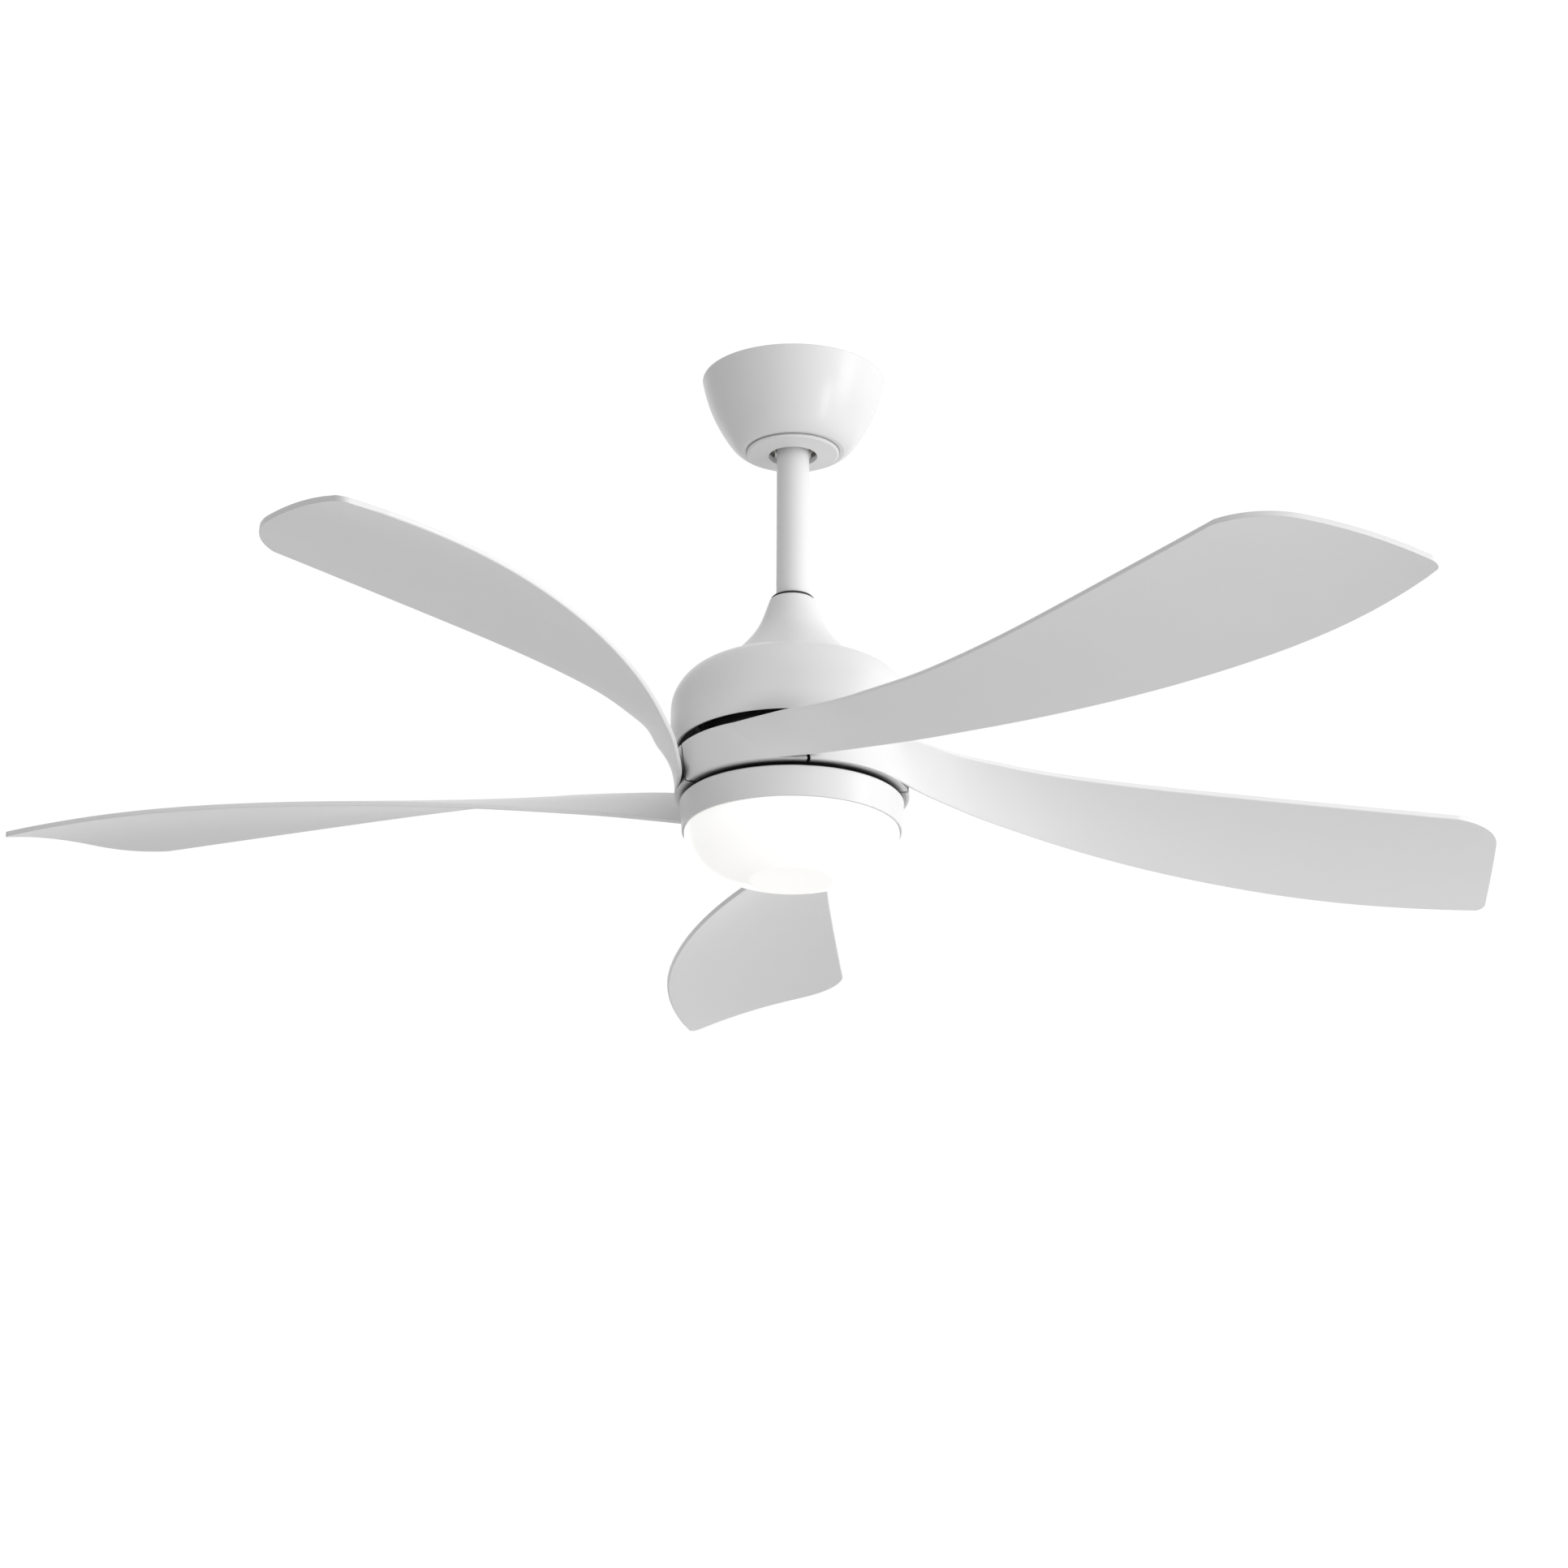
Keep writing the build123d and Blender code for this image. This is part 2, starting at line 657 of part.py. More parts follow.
# A blade is one thin ribbon on a thick root wall. The root wraps a fifth of the hub; the
# ribbon peels off the wall and twists until it lies almost flat. Two plan curves carry
# it, the lower long edge and the upper long edge. They are drawn for a blade whose upper
# edge points along +X, and each keeps nearly one height.
root_radius = 94.5
ribbon_thickness = 4.0
root_camber = 0.2  # height of the arched underside above its chord
tip_camber = 6.2
lower_root_z = light_top_z + 3.7
lower_tip_z = light_top_z + 8.7
upper_root_z = light_top_z + 38.2
upper_tip_z = light_top_z + 33.7
edge_round = 1.2
root_start = -94.0  # where the root begins, as an angle, at its lower edge
root_slant = 6.0  # by how much its upper edge is ahead
lower_peel = -48.0  # where each edge leaves the wall
upper_peel = -60.0
wall_outer_radius = root_radius - 0.3
wall_inner_radius = 85.2
wall_reach = 70.4  # angle that one root wall covers
tip_near = (604.0, 1.8)  # plan corners of the tip before they are rounded
tip_far = on_circle(sweep_radius + 2.8, 13.0)
tip_near_round = 66.0
tip_far_round = 8.0
tip_bulge = 2.6
station_count = 19
station_spread = 1.4  # above 1 the stations crowd towards the root

with BuildLine() as lower_edge:
    wrap = CenterArc((0, 0), root_radius, root_start, lower_peel - root_start)
    Spline(
        wrap @ 1, (92, -40), (115, -20), (152, 9.5), (190, 35.0), (240, 65.5), (293, 93),
        (380, 128), (440, 145), (520, 157.5), (600, 157), (680, 140), tangents=[wrap % 1, (1, -0.25)],
    )

with BuildLine() as upper_edge:
    wrap = CenterArc((0, 0), root_radius, root_start - root_slant, upper_peel - root_start + root_slant)
    Spline(
        wrap @ 1, (80, -70), (112, -50), (155, -31.5), (200, -18), (249, -9.6), (301, -4.7),
        (380, -1.5), (460, 0.1), (530, 1.2), (605, 2.0), (680, 2.6), tangents=[wrap % 1, (1, 0.01)],
    )


def blade_section(share):
    """Plane, width and camber of the ribbon's section at a share of its length."""
    low = lower_edge.line @ share + Vector(0, 0, lower_root_z + share * (lower_tip_z - lower_root_z))
    high = upper_edge.line @ share + Vector(0, 0, upper_root_z + share * (upper_tip_z - upper_root_z))
    along = (lower_edge.line % share + upper_edge.line % share).normalized()
    chord = high - low
    across = chord.normalized()
    square_on = (along - across * along.dot(across)).normalized()
    camber = root_camber + (tip_camber - root_camber) * share
    plane = Plane(origin=(low + high) * 0.5, x_dir=across, z_dir=square_on)
    return plane, chord.length, camber


def ribbon_outline(width, camber):
    """Outline of the ribbon's section: two arched faces and two edges with rounded corners."""
    side = width / 2
    flat = side - edge_round
    corner = side - 0.29 * edge_round  # the middle of a rounded corner
    nip = side - corner
    deep = -ribbon_thickness
    ThreePointArc((-flat, 0), (0, -camber), (flat, 0))
    ThreePointArc((flat, 0), (corner, -nip), (side, -edge_round))
    Line((side, -edge_round), (side, deep + edge_round))
    ThreePointArc((side, deep + edge_round), (corner, deep + nip), (flat, deep))
    ThreePointArc((flat, deep), (0, deep - camber), (-flat, deep))
    ThreePointArc((-flat, deep), (-corner, deep + nip), (-side, deep + edge_round))
    Line((-side, deep + edge_round), (-side, -edge_round))
    ThreePointArc((-side, -edge_round), (-corner, -nip), (-flat, 0))


def root_end(angle):
    """Plane across the root wall that leans as the ribbon's end does; it faces round the hub."""
    low = Vector(*on_circle(root_radius, angle), lower_root_z)
    high = Vector(*on_circle(root_radius, angle - root_slant), upper_root_z)
    return Plane(origin=low, x_dir=high - low, z_dir=(high - low).cross(Vector(*on_circle(1, angle))))


wall_start = root_start - 2 * root_slant
with BuildPart() as root_wall:
    with BuildSketch(Plane(origin=(0, 0, 0), x_dir=(*on_circle(1, wall_start), 0),
                           z_dir=(*on_circle(1, wall_start - 90), 0))):
        with Locations((wall_inner_radius, lower_root_z + 0.3)):
            Rectangle(
                wall_outer_radius - wall_inner_radius, upper_root_z - lower_root_z - 0.6,
                align=(Align.MIN, Align.MIN),
            )
    revolve(axis=Axis.Z, revolution_arc=wall_reach + 3 * root_slant)
    split(bisect_by=root_end(root_start + 0.3), keep=Keep.TOP)
    split(bisect_by=root_end(root_start + wall_reach), keep=Keep.BOTTOM)

with BuildPart() as blade_form:
    for station in range(station_count):
        plane, width, camber = blade_section((station / (station_count - 1)) ** station_spread)
        with BuildSketch(plane):
            with BuildLine():
                ribbon_outline(width, camber)
            make_face()
    loft()
    # the tip: a nearly straight end with a wide and a narrow rounded corner
    with BuildSketch(Plane.XY.offset(light_top_z)) as blade_plan:
        with BuildLine():
            tip_middle = (Vector(*tip_near) + Vector(*tip_far)) / 2 + Vector(tip_bulge, 0)
            ThreePointArc(tip_near, tip_middle, tip_far)
            Polyline(tip_far, (500, 175), (-150, 175), (-150, -150), (300, -40), (400, -2.6), tip_near)
        make_face()
        fillet(blade_plan.vertices().sort_by_distance(tip_near)[0], tip_near_round)
        fillet(blade_plan.vertices().sort_by_distance(tip_far)[0], tip_far_round)
    extrude(amount=60, mode=Mode.INTERSECT)
    add(root_wall.part)
    # the tab that the blade screws clamp to the hub
    tab_at = on_circle(tab_middle_radius, tab_angle)
    with BuildSketch(Plane(origin=(*tab_at, hub_deck_z), x_dir=(*on_circle(1, tab_angle), 0))):
        Rectangle(tab_length, tab_width)
    extrude(amount=tab_thickness)
    with BuildSketch(Plane.XY.offset(hub_deck_z)):
        with Locations(*tab_screw_places(tab_angle)):
            Circle(fit(tab_screw_radius))
    extrude(amount=tab_thickness, mode=Mode.SUBTRACT)

blades = {}
for number, angle in enumerate(blade_angles, start=1):
    with BuildPart() as blade:
        add(blade_form.part.rotate(Axis.Z, angle))
    blades[f"blade_{number}"] = blade

# ---------------------------------------------------------------- light kit

pan_wall = 1.6
pan_foot_z = light_top_z - light_height
pan_foot_radius = light_radius - 1.9
mount_screw_circle = 45.0
mount_screw_start = 30.0
board_z = light_top_z - 15.5
board_radius = 74.0
standoff_circle = 66.0
catch_angle = 18.0  # width of a bayonet catch or lug

with BuildPart() as light_mount_plate:
    with BuildSketch(Plane.XY.offset(light_top_z)):
        Circle(58)
        Circle(fit(shaft_radius), mode=Mode.SUBTRACT)
        with PolarLocations(mount_screw_circle, 3, start_angle=mount_screw_start):
            Circle(2.05, mode=Mode.SUBTRACT)
    extrude(amount=2)

with BuildPart() as light_pan:
    with BuildSketch(Plane.XZ):
        with BuildLine():
            top = Line((fit(shaft_radius), light_top_z), (light_radius - 1.2, light_top_z))
            edge = Line(top @ 1, (light_radius, light_top_z - 1.2))
            side = Line(edge @ 1, (pan_foot_radius, pan_foot_z))
            Polyline(
                side @ 1,
                (pan_foot_radius - pan_wall, pan_foot_z),
                (light_radius - pan_wall, light_top_z - pan_wall),
                (fit(shaft_radius), light_top_z - pan_wall),
                top @ 0,
            )
        make_face()
    revolve(axis=Axis.Z)
    with BuildSketch(Plane.XY.offset(light_top_z - pan_wall)):
        with PolarLocations(mount_screw_circle, 3, start_angle=mount_screw_start):
            Circle(2.2)
    extrude(amount=pan_wall, mode=Mode.SUBTRACT)

catch_z = pan_foot_z + 4.0
lug_z = catch_z + 1.9

catch_ring = ring_sectors(84.3, 86.8, catch_angle, 3)

with BuildPart() as bayonet_catches:
    with BuildSketch(Plane.XY.offset(catch_z)):
        add(catch_ring)
    extrude(amount=1.5)

with BuildPart() as light_pan_screws:
    with BuildSketch(Plane.XY.offset(light_top_z - pan_wall)):
        with PolarLocations(mount_screw_circle, 3, start_angle=mount_screw_start):
            Circle(2.0)
    extrude(amount=pan_wall + 2)
    with BuildSketch(Plane.XY.offset(light_top_z - pan_wall)):
        with PolarLocations(mount_screw_circle, 3, start_angle=mount_screw_start):
            Circle(3.8)
    extrude(amount=-2.2)

with BuildPart() as shaft_nut:
    with BuildSketch(Plane.XY.offset(light_top_z - pan_wall)):
        RegularPolygon(13.5, 6)
        Circle(fit(shaft_radius), mode=Mode.SUBTRACT)
    extrude(amount=-4.5)

with BuildPart(Plane.XY.offset(light_top_z - pan_wall)) as led_driver:
    with Locations((0, 28, 0)):
        Box(62, 26, 11, align=(Align.CENTER, Align.CENTER, Align.MAX))
    fillet(led_driver.edges().filter_by(Axis.Z), 2)

with BuildPart() as led_board:
    with BuildSketch(Plane.XY.offset(board_z)):
        Circle(board_radius)
        with PolarLocations(standoff_circle, 3, start_angle=60):
            Circle(1.6, mode=Mode.SUBTRACT)
    extrude(amount=-1.6)

with BuildPart() as led_standoffs:
    with BuildSketch(Plane.XY.offset(board_z)):
        with PolarLocations(standoff_circle, 3, start_angle=60):
            RegularPolygon(3.2, 6)
    extrude(amount=light_top_z - pan_wall - board_z)
    with BuildSketch(Plane.XY.offset(board_z)):
        with PolarLocations(standoff_circle, 3, start_angle=60):
            Circle(1.5)
    extrude(amount=-1.6)

with BuildPart() as led_chips:
    with BuildSketch(Plane.XY.offset(board_z - 1.6)):
        with PolarLocations(57, 18):
            Rectangle(4, 4)
        with PolarLocations(32, 9):
            Rectangle(4, 4)
    extrude(amount=-0.9)

# The diffuser's collar stands inside the pan, and its three lugs rest above the catches.
collar_radius = 83.9
diffuser_wall = 2.0
lug_ring = ring_sectors(collar_radius - 1, 86.0, catch_angle, 3)

with BuildPart() as diffuser:
    with BuildSketch(Plane.XZ):
        with BuildLine():
            bowl = Spline(
                (glass_radius, pan_foot_z - 0.4), (82.0, pan_foot_z - 13.5), (72.0, pan_foot_z - 24.5),
                (57.0, pan_foot_z - 33.0), (38.0, pan_foot_z - 39.5), (0, pan_foot_z - glass_depth),
                tangents=[(0, -1), (-1, 0)],
            )
            Line(bowl @ 1, (0, pan_foot_z - glass_depth + diffuser_wall))
            inner_bowl = Spline(
                (0, pan_foot_z - glass_depth + diffuser_wall), (37.4, pan_foot_z - 37.6),
                (56.0, pan_foot_z - 31.3), (70.6, pan_foot_z - 23.1), (80.1, pan_foot_z - 12.8),
                (collar_radius - 1.8, pan_foot_z + 0.6), tangents=[(1, 0), (0, 1)],
            )
            Polyline(
                inner_bowl @ 1,
                (collar_radius - 1.8, lug_z + 2.0),
                (collar_radius, lug_z + 2.0),
                (collar_radius, pan_foot_z - 0.4),
                bowl @ 0,
            )
        make_face()
    revolve(axis=Axis.Z)
    with BuildSketch(Plane.XY.offset(lug_z)):
        add(lug_ring)
    extrude(amount=2.0)

# ---------------------------------------------------------------- leads inside the rod

# They run beside the two pins that cross the rod, and straight down the hollow shaft.
lead_radius = 2.0
lead_y = 5.35
lead_top_z = rod_top_z + 2.0
lead_foot_z = shaft_foot_z - 1.5

with BuildPart() as motor_leads:
    with BuildSketch(Plane.XY.offset(lead_foot_z)):
        with Locations((0, lead_y)):
            Circle(lead_radius)
    extrude(amount=lead_top_z - lead_foot_z)

with BuildPart(Plane((0, lead_y, lead_top_z))) as upper_lead_plug:
    Box(9, 6, 2.5, align=(Align.CENTER, Align.CENTER, Align.MIN))

with BuildPart(Plane((0, lead_y, lead_foot_z))) as lower_lead_plug:
    Box(12, 18, 5, align=(Align.CENTER, Align.CENTER, Align.MAX))

# ---------------------------------------------------------------- one file per piece

pieces = {
    "ceiling_bracket": ceiling_bracket,
    "canopy": canopy,
    "canopy_screws": canopy_screws,
    "canopy_trim_ring": canopy_trim_ring,
    "ground_screw": ground_screw,
    "receiver": receiver,
    "ball_seat": ball_seat,
    "hanger_ball": hanger_ball,
    "ball_cross_pin": ball_cross_pin,
    "ball_set_screw": ball_set_screw,
    "downrod": downrod,
    "yoke": yoke,
    "clevis_pin": clevis_pin,
    "clevis_clip": clevis_clip,
    "yoke_set_screws": yoke_set_screws,
    "cover_seal": cover_seal,
    "coupling_cover": coupling_cover,
    "motor_housing": motor_housing,
    "housing_screws": housing_screws,
    "motor_shaft": motor_shaft,
    "stator_core": stator_core,
    "stator_windings": stator_windings,
    "bearing_inner_rings": bearing_inner_rings,
    "bearing_outer_rings": bearing_outer_rings,
    "bearing_balls": bearing_balls,
    "rotor_case_top": rotor_case_top,
    "rotor_case_bottom": rotor_case_bottom,
    "rotor_case_screws": rotor_case_screws,
    "rotor_magnets": rotor_magnets,
    "blade_hub": blade_hub,
    "hub_screws": hub_screws,
    "blade_screws": blade_screws,
    "light_mount_plate": light_mount_plate,
    "light_pan": light_pan,
    "bayonet_catches": bayonet_catches,
    "light_pan_screws": light_pan_screws,
    "shaft_nut": shaft_nut,
    "led_driver": led_driver,
    "led_board": led_board,
    "led_standoffs": led_standoffs,
    "led_chips": led_chips,
    "diffuser": diffuser,
    "motor_leads": motor_leads,
    "upper_lead_plug": upper_lead_plug,
    "lower_lead_plug": lower_lead_plug,
    **blades,
}

os.makedirs("parts", exist_ok=True)
for name, piece in pieces.items():
    piece.part.label = name
    export_step(piece.part, f"parts/{name}.step")
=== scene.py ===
import json
import math

import bpy
from mathutils import Euler, Matrix, Vector


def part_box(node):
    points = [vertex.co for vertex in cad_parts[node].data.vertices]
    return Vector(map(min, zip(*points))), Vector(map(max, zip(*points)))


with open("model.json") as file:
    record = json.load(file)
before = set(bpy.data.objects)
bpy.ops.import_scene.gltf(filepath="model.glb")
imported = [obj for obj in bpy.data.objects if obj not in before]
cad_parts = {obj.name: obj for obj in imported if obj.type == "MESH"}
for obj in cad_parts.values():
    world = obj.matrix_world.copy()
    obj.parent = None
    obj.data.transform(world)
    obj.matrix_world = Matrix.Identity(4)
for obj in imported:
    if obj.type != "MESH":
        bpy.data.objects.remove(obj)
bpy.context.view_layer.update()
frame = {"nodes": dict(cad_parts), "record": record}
nodes = frame["nodes"]

# ---------------------------------------------------------------- material helpers

# Near-black colour of the painted shade laid into gaps and creases.
PAINTED_SHADE_COLOUR = (0.01, 0.01, 0.01, 1)


class Shader:
    """One procedural material: a Principled shader and the nodes that vary it over the surface."""

    def __init__(self, name, **sockets):
        self.material = bpy.data.materials.new(name)
        self.material.use_nodes = True
        self.tree = self.material.node_tree
        self.out = self.tree.nodes["Principled BSDF"]
        for socket, value in sockets.items():
            self.out.inputs[socket.replace("_", " ")].default_value = value
        self.coords = self.node("ShaderNodeTexCoord").outputs["Object"]

    def node(self, kind, **values):
        made = self.tree.nodes.new(kind)
        for key, value in values.items():
            setattr(made, key, value)
        return made

    def link(self, source, target):
        self.tree.links.new(source, target)

    def texture(self, kind, scale, stretch=(1, 1, 1), **sockets):
        mapping = self.node("ShaderNodeMapping")
        mapping.inputs["Scale"].default_value = stretch
        self.link(self.coords, mapping.inputs["Vector"])
        made = self.node(kind)
        made.inputs["Scale"].default_value = scale
        for socket, value in sockets.items():
            made.inputs[socket].default_value = value
        self.link(mapping.outputs["Vector"], made.inputs["Vector"])
        return made

    def noise(self, scale, detail=3.0, stretch=(1, 1, 1)):
        """Soft noise with cells of about 1/scale metres, stretched along an axis if asked."""
        return self.texture("ShaderNodeTexNoise", scale, stretch, Detail=detail).outputs["Fac"]

    def grain(self, scale):
        """Round cells of about 1/scale metres."""
        return self.texture("ShaderNodeTexVoronoi", scale).outputs["Distance"]

    def layers(self, pitch, axis):
        """Bands across an axis, one every pitch metres."""
        made = self.texture("ShaderNodeTexWave", math.pi / (10 * pitch), Distortion=0.0)
        made.bands_direction = axis
        return made.outputs["Fac"]

    def mix(self, a, b, share):
        """A blend of two values, with that share of b."""
        made = self.node("ShaderNodeMix")
        made.inputs["Factor"].default_value = share
        self.link(a, made.inputs["A"])
        self.link(b, made.inputs["B"])
        return made.outputs["Result"]

    def spread(self, value, low, high, start=0.3, end=0.7):
        """The value from start to end, spread onto low to high, which are numbers or colours."""
        if isinstance(low, (int, float)):
            made = self.node("ShaderNodeMapRange")
            limits = {"From Min": start, "From Max": end, "To Min": low, "To Max": high}
            for socket, number in limits.items():
                made.inputs[socket].default_value = number
            self.link(value, made.inputs["Value"])
            return made.outputs["Result"]
        made = self.node("ShaderNodeValToRGB")
        for element, position, tone in zip(made.color_ramp.elements, (start, end), (low, high)):
            element.position = position
            element.color = (*tone, 1)
        self.link(value, made.inputs["Fac"])
        return made.outputs["Color"]

    def vary(self, socket, value, low, high, start=0.3, end=0.7):
        """Drives one of the shader's sockets by the value, spread onto low to high."""
        self.link(self.spread(value, low, high, start, end), self.out.inputs[socket])

    def painted_crevice_shade(self, reach, start, end):
        """Paints shade into the base colour in gaps narrower than about the reach, in metres, where
        little light gets in.
        """
        source = self.out.inputs["Base Color"].links[0].from_socket
        hollow = self.node("ShaderNodeAmbientOcclusion", samples=8)
        hollow.inputs["Distance"].default_value = reach
        dark = self.node("ShaderNodeMixRGB")
        dark.inputs["Color1"].default_value = PAINTED_SHADE_COLOUR
        self.link(self.spread(hollow.outputs["AO"], 0.0, 1.0, start, end), dark.inputs["Fac"])
        self.link(source, dark.inputs["Color2"])
        self.link(dark.outputs["Color"], self.out.inputs["Base Color"])

    def relief(self, *layers, edge=0.0):
        """Bumps, each (value, depth in metres), over edges that catch light as if rounded by edge."""
        normal = None
        if edge:
            rounded = self.node("ShaderNodeBevel", samples=4)
            rounded.inputs["Radius"].default_value = edge
            normal = rounded.outputs["Normal"]
        for value, depth in layers:
            made = self.node("ShaderNodeBump")
            made.inputs["Distance"].default_value = depth
            self.link(value, made.inputs["Height"])
            if normal is not None:
                self.link(normal, made.inputs["Normal"])
            normal = made.outputs["Normal"]
        self.link(normal, self.out.inputs["Normal"])


def shade(value, spread=0.02, tint=(1, 1, 1)):
    """A dark and a light tone a little apart, of one tint."""
    return [tuple(v * t for t in tint) for v in (value - spread, value + spread)]


def paint(slot, made):
    """Gives the shader's material to every CAD node of that slot in the record."""
    for part in frame["record"]["subparts"]:
        if part["material_slot"] == slot:
            mesh = nodes[part["node"]].data
            mesh.materials.clear()
            mesh.materials.append(made.material)


# ---------------------------------------------------------------- materials


def powder_coat(name, value, tint, roughness):
    """Satin powder coat: fine orange peel, and a broad unevenness in tone and gloss."""
    made = Shader(name, IOR=1.5, Coat_Weight=0.3, Coat_Roughness=0.2)
    made.vary("Base Color", made.noise(9, 4), *shade(value, 0.006, tint))
    made.vary("Roughness", made.noise(45, 5), roughness - 0.04, roughness + 0.05)
    made.relief((made.noise(700, 2), 0.00003), (made.grain(2400), 0.000008), edge=0.0007)
    return made


def moulded(name, value, tint, roughness, spread=0.008, texture=0.00002):
    """Injection-moulded plastic: fine spark texture and slight flow marks."""
    made = Shader(name, IOR=1.47)
    flow = made.noise(14, 4, (1, 1, 2.5))
    made.vary("Base Color", flow, *shade(value, spread, tint))
    made.vary("Roughness", made.mix(flow, made.noise(160, 3), 0.6), roughness - 0.06, roughness + 0.06)
    made.relief((made.grain(1900), texture), (made.noise(90, 2), texture), edge=0.0006)
    return made


def metal(name, value, tint, roughness, streak=(1, 1, 1), spread=0.05, pits=0.00001):
    """Bare or plated metal with drawn streaks along one axis and a cloudy finish."""
    made = Shader(name, Metallic=1.0)
    lines = made.noise(420, 3, streak)
    made.vary("Base Color", made.mix(made.noise(30, 5), lines, 0.4), *shade(value, spread, tint))
    made.vary("Roughness", lines, roughness - 0.08, roughness + 0.1)
    made.relief((lines, 0.00002), (made.grain(900), pits), edge=0.0004)
    return made


WHITE = (1.0, 0.996, 1.0)
white_coat = powder_coat("white_powder_coat", 0.86, WHITE, 0.36)
# Painted shade: darkens the coat in seams and contact lines, such as cover to housing and trim ring to
# canopy.
white_coat.painted_crevice_shade(0.004, 0.35, 0.8)
paint("white_metal", white_coat)

blade_white = moulded("white_blade_abs", 0.865, WHITE, 0.36, spread=0.005, texture=0.000006)
# Painted shade: darkens the blades in the gaps between roots and in the band beneath them.
blade_white.painted_crevice_shade(0.010, 0.3, 0.72)
blade_white.out.inputs["Coat Weight"].default_value = 0.1
blade_white.out.inputs["Coat Roughness"].default_value = 0.2
paint("white_blade", blade_white)

opal = Shader("opal_diffuser", IOR=1.5, Coat_Weight=0.3, Coat_Roughness=0.12, Emission_Strength=0.54)
height = opal.node("ShaderNodeSeparateXYZ")
opal.link(opal.coords, height.inputs["Vector"])
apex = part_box("diffuser")[0].z
glow_height = 0.034  # from the apex, where the light turns from cream to white
rise = opal.spread(height.outputs["Z"], 0.0, 1.0, apex, apex + glow_height)
opal.vary("Emission Color", rise, (0.80, 0.79, 0.765), (1.0, 0.995, 0.975), 0.0, 1.0)
opal.vary("Base Color", opal.noise(25, 3), *shade(0.88, 0.01, (1, 1, 0.99)))
opal.vary("Roughness", opal.noise(120, 3), 0.22, 0.32)
opal.relief((opal.noise(1500, 2), 0.000006), edge=0.0005)
paint("opal_diffuser", opal)

rubber = Shader("black_rubber", IOR=1.5, Sheen_Weight=0.1)
rubber.vary("Base Color", rubber.noise(300, 3), *shade(0.018, 0.006))
rubber.vary("Roughness", rubber.noise(200, 4), 0.65, 0.85)
rubber.relief((rubber.noise(1500, 3), 0.00003), edge=0.0004)
paint("black_rubber", rubber)

paint("zinc_steel", metal("zinc_plated_steel", 0.62, (1.0, 0.99, 0.95), 0.3, (1, 0.05, 1)))
paint("cast_alloy", metal("cast_alloy", 0.42, (1, 1, 1.02), 0.5, pits=0.00008))
paint("magnet", metal("sintered_magnet", 0.13, (1, 1, 1.03), 0.5, pits=0.00004, spread=0.02))
paint("ball_nylon", moulded("black_nylon", 0.022, (1, 1, 1), 0.42, spread=0.006))
paint("seat_nylon", moulded("natural_nylon", 0.68, (1, 0.97, 0.88), 0.5))
paint("receiver_plastic", moulded("receiver_case", 0.8, (1, 1, 0.99), 0.45))
paint("driver_plastic", moulded("driver_case", 0.76, (1, 1, 0.97), 0.5))
paint("lead_sheath", moulded("lead_sheath", 0.03, (1, 1, 1), 0.5, spread=0.01))

black_paint = powder_coat("black_motor_paint", 0.02, (1, 1, 1.05), 0.5)
paint("black_metal", black_paint)
paint("black_alloy", black_paint)

lamination = Shader("stator_lamination", Metallic=0.9)
sheets = lamination.layers(0.0005, "Z")
lamination.vary("Base Color", sheets, (0.12, 0.12, 0.125), (0.36, 0.36, 0.37), 0.2, 0.8)
lamination.vary("Roughness", lamination.noise(150, 4), 0.35, 0.55)
lamination.relief((sheets, 0.0001))
paint("lamination", lamination)

copper = Shader("enamelled_copper", Metallic=1.0, Coat_Weight=0.8, Coat_Roughness=0.15)
turns = copper.layers(0.0007, "Z")
copper.vary("Base Color", turns, (0.30, 0.10, 0.035), (0.72, 0.33, 0.16), 0.1, 0.7)
copper.vary("Roughness", copper.noise(90, 4), 0.22, 0.36)
copper.relief((turns, 0.0003))
paint("copper_wire", copper)

board = Shader("led_board_solder_mask", IOR=1.5, Coat_Weight=0.4, Coat_Roughness=0.15)
board.vary("Base Color", board.noise(40, 3), *shade(0.82, 0.02, (1, 1, 0.98)))
board.vary("Roughness", board.noise(300, 3), 0.3, 0.45)
board.relief((board.grain(700), 0.00003), edge=0.0002)
paint("circuit_board", board)

phosphor = Shader("led_phosphor", IOR=1.45, Emission_Strength=2.0)
phosphor.out.inputs["Subsurface Weight"].default_value = 0.2
phosphor.out.inputs["Subsurface Scale"].default_value = 0.001
phosphor.vary("Base Color", phosphor.noise(900, 2), (0.85, 0.62, 0.12), (0.95, 0.78, 0.25))
phosphor.vary("Emission Color", phosphor.noise(900, 2), (1.0, 0.86, 0.6), (1.0, 0.93, 0.75))
phosphor.vary("Roughness", phosphor.noise(500, 2), 0.25, 0.4)
phosphor.relief((phosphor.noise(900, 2), 0.00004))
paint("led_phosphor", phosphor)

# ---------------------------------------------------------------- camera, light, floor

CAMERA_AT = (-0.0017, -3.583, -1.663)
CAMERA_PITCH = 20.1  # degrees above level
CAMERA_YAW = 0.0013  # radians, as is the roll
CAMERA_ROLL = 0.004
LENS = 109.0  # mm, on a sensor 36 mm wide
SENSOR_WIDTH = 36
SENSOR_SHIFT = -0.002
FLOOR_Z = -2.7  # the ceiling is at 0
FLOOR_RADIUS = 30
# Across X, where the floor's painted light falloff runs from its darkest to its lightest.
FLOOR_PAINTED_SHADE_X, FLOOR_PAINTED_LIGHT_X = -2.6, 1.4

camera = bpy.data.objects.new("camera", bpy.data.cameras.new("camera"))
bpy.context.scene.collection.objects.link(camera)
camera.location = CAMERA_AT
aim = Euler((math.radians(90 + CAMERA_PITCH), 0, CAMERA_YAW)).to_matrix()
camera.rotation_euler = (aim @ Matrix.Rotation(CAMERA_ROLL, 3, "Z")).to_euler()
camera.data.lens = LENS
camera.data.sensor_width = SENSOR_WIDTH
camera.data.shift_y = SENSOR_SHIFT
bpy.context.scene.camera = camera

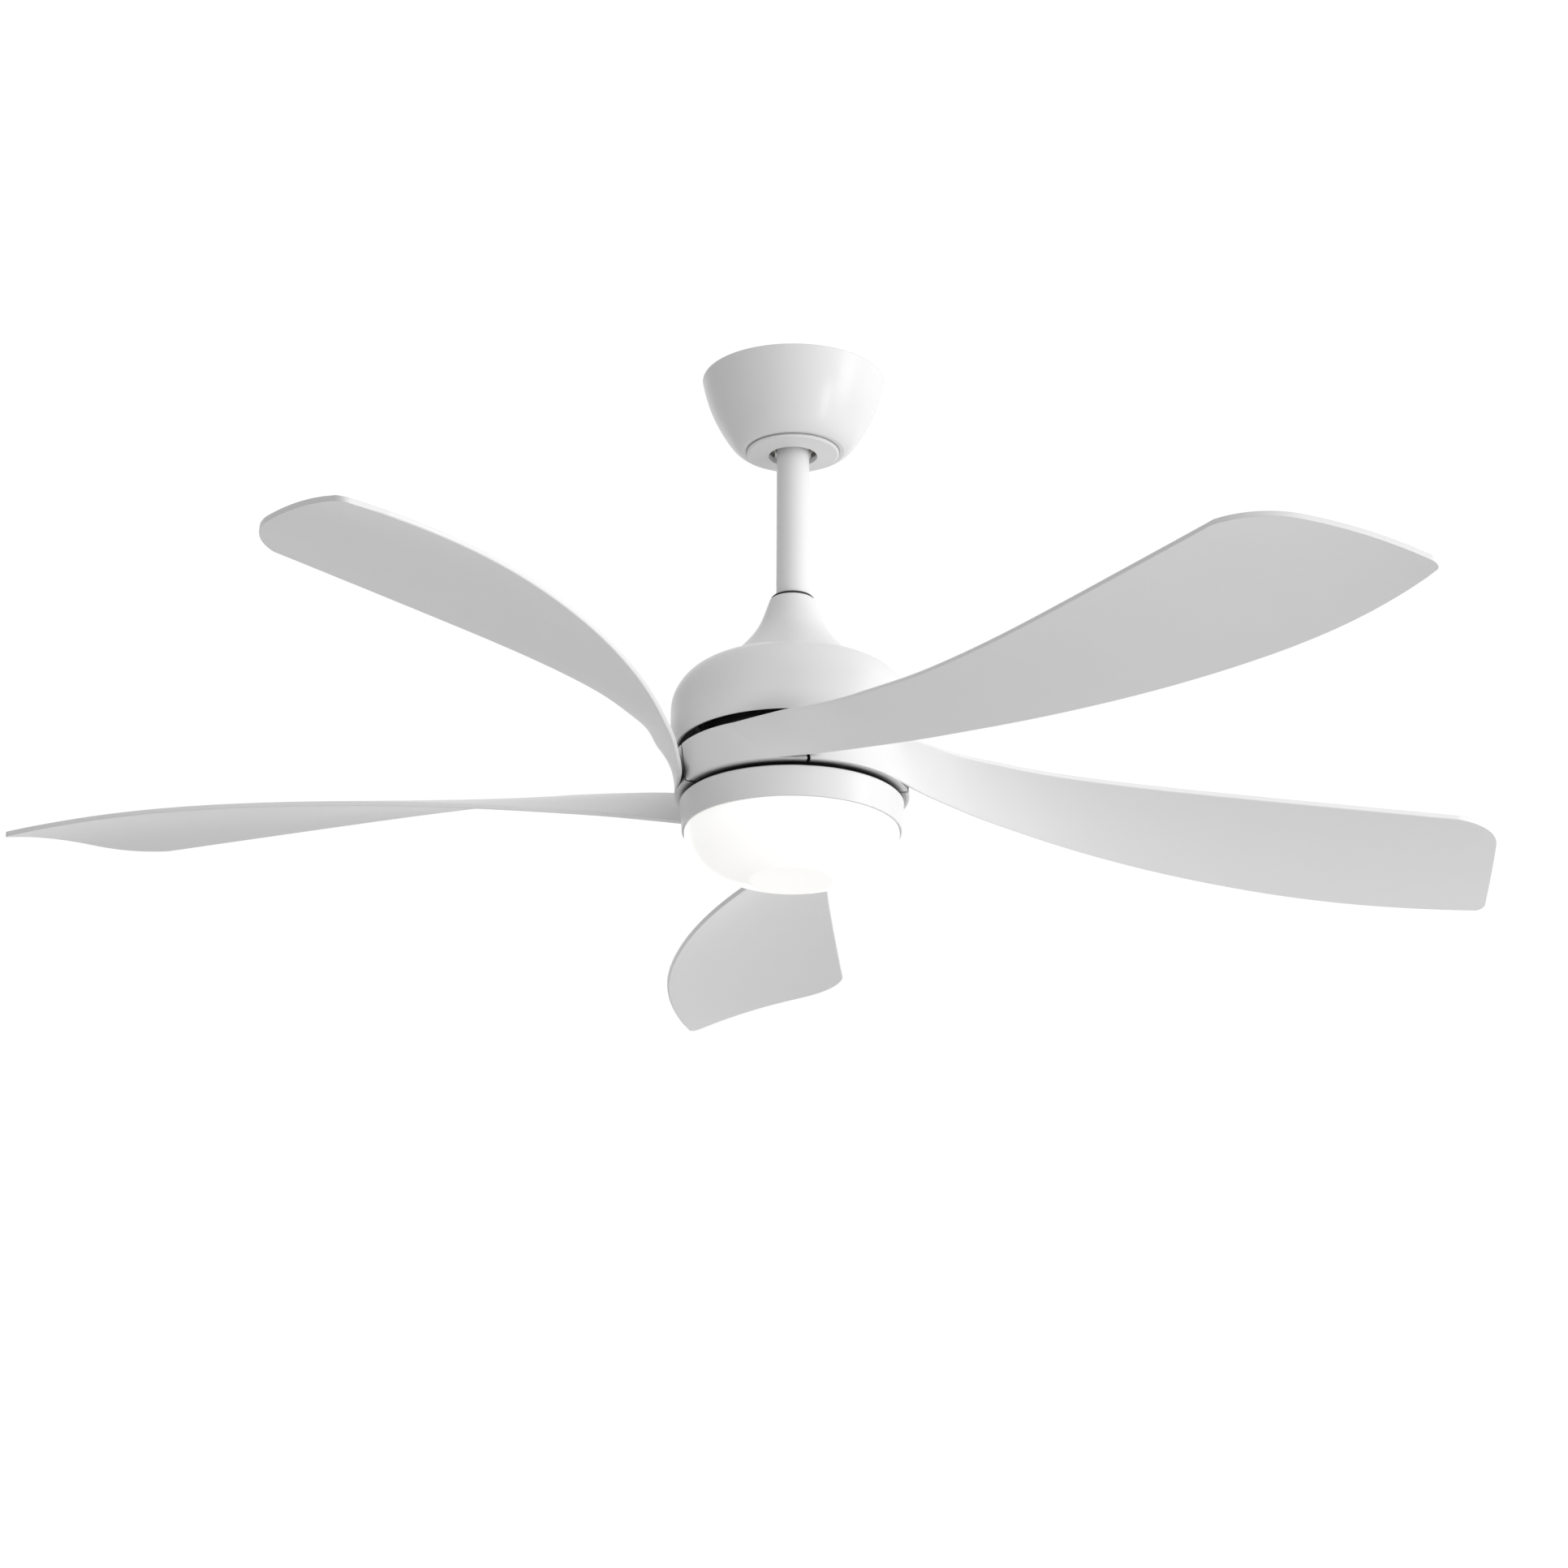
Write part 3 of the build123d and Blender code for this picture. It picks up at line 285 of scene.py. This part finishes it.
bpy.ops.mesh.primitive_circle_add(
    vertices=96, radius=FLOOR_RADIUS, fill_type="NGON", location=(0, 0, FLOOR_Z)
)
floor = bpy.context.object
floor.name = "floor"
pale = Shader("pale_floor", IOR=1.4)
across = pale.node("ShaderNodeSeparateXYZ")
pale.link(pale.coords, across.inputs["Vector"])
# Painted shade: the floor's colour darkens towards -X as if less light fell there, with a little
# random tone mixed in.
painted_falloff = pale.spread(across.outputs["X"], 0.0, 1.0, FLOOR_PAINTED_SHADE_X, FLOOR_PAINTED_LIGHT_X)
falloff_and_tone = pale.mix(painted_falloff, pale.noise(0.5, 3), 0.08)
pale.vary("Base Color", falloff_and_tone, *shade(0.67, 0.15, (1, 0.998, 1)), 0.0, 1.0)
pale.vary("Roughness", pale.noise(3, 4), 0.6, 0.75)
pale.relief((pale.noise(180, 3), 0.0002))
floor.data.materials.append(pale.material)


BACKDROP_STARTS, BACKDROP_FULL = 0.6, 0.88  # how far round towards +Y, as the Y of a direction


def studio(base, sideways, behind):
    """World light: base, more or less by sideways towards +X or -X; on the +Y side, behind."""
    world = bpy.data.worlds.new("studio")
    bpy.context.scene.world = world
    world.use_nodes = True
    tree = world.node_tree
    parts = tree.nodes.new("ShaderNodeSeparateXYZ")
    tree.links.new(tree.nodes.new("ShaderNodeTexCoord").outputs["Generated"], parts.inputs["Vector"])
    side = tree.nodes.new("ShaderNodeMath")
    side.operation = "MULTIPLY_ADD"
    tree.links.new(parts.outputs["X"], side.inputs[0])
    side.inputs[1].default_value = sideways
    side.inputs[2].default_value = base
    back = tree.nodes.new("ShaderNodeMapRange")
    back.interpolation_type = "SMOOTHSTEP"
    back.inputs["From Min"].default_value = BACKDROP_STARTS
    back.inputs["From Max"].default_value = BACKDROP_FULL
    tree.links.new(parts.outputs["Y"], back.inputs["Value"])
    level = tree.nodes.new("ShaderNodeMix")
    tree.links.new(back.outputs["Result"], level.inputs["Factor"])
    tree.links.new(side.outputs["Value"], level.inputs["A"])
    level.inputs["B"].default_value = behind
    tree.links.new(level.outputs["Result"], tree.nodes["Background"].inputs["Strength"])
    tree.nodes["Background"].inputs["Color"].default_value = (1, 1, 1, 1)


def softbox(name, at, towards, size, power):
    """A rectangular area light, with its size in metres and its power in watts."""
    light = bpy.data.lights.new(name, "AREA")
    light.shape = "RECTANGLE"
    light.size, light.size_y = size
    light.energy = power
    made = bpy.data.objects.new(name, light)
    bpy.context.scene.collection.objects.link(made)
    made.location = at
    made.rotation_euler = (Vector(towards) - Vector(at)).to_track_quat("-Z", "Y").to_euler()


studio(base=0.76, sideways=0.43, behind=1.02)
softbox("key", at=(3.6, -1.1, -0.4), towards=(0, 0, -0.3), size=(1.4, 2.2), power=27)
softbox("strip", at=(1.7, -1.35, -1.2), towards=(0.1, 0, -0.34), size=(0.35, 0.9), power=7.5)
bpy.context.scene.view_settings.view_transform = "Standard"
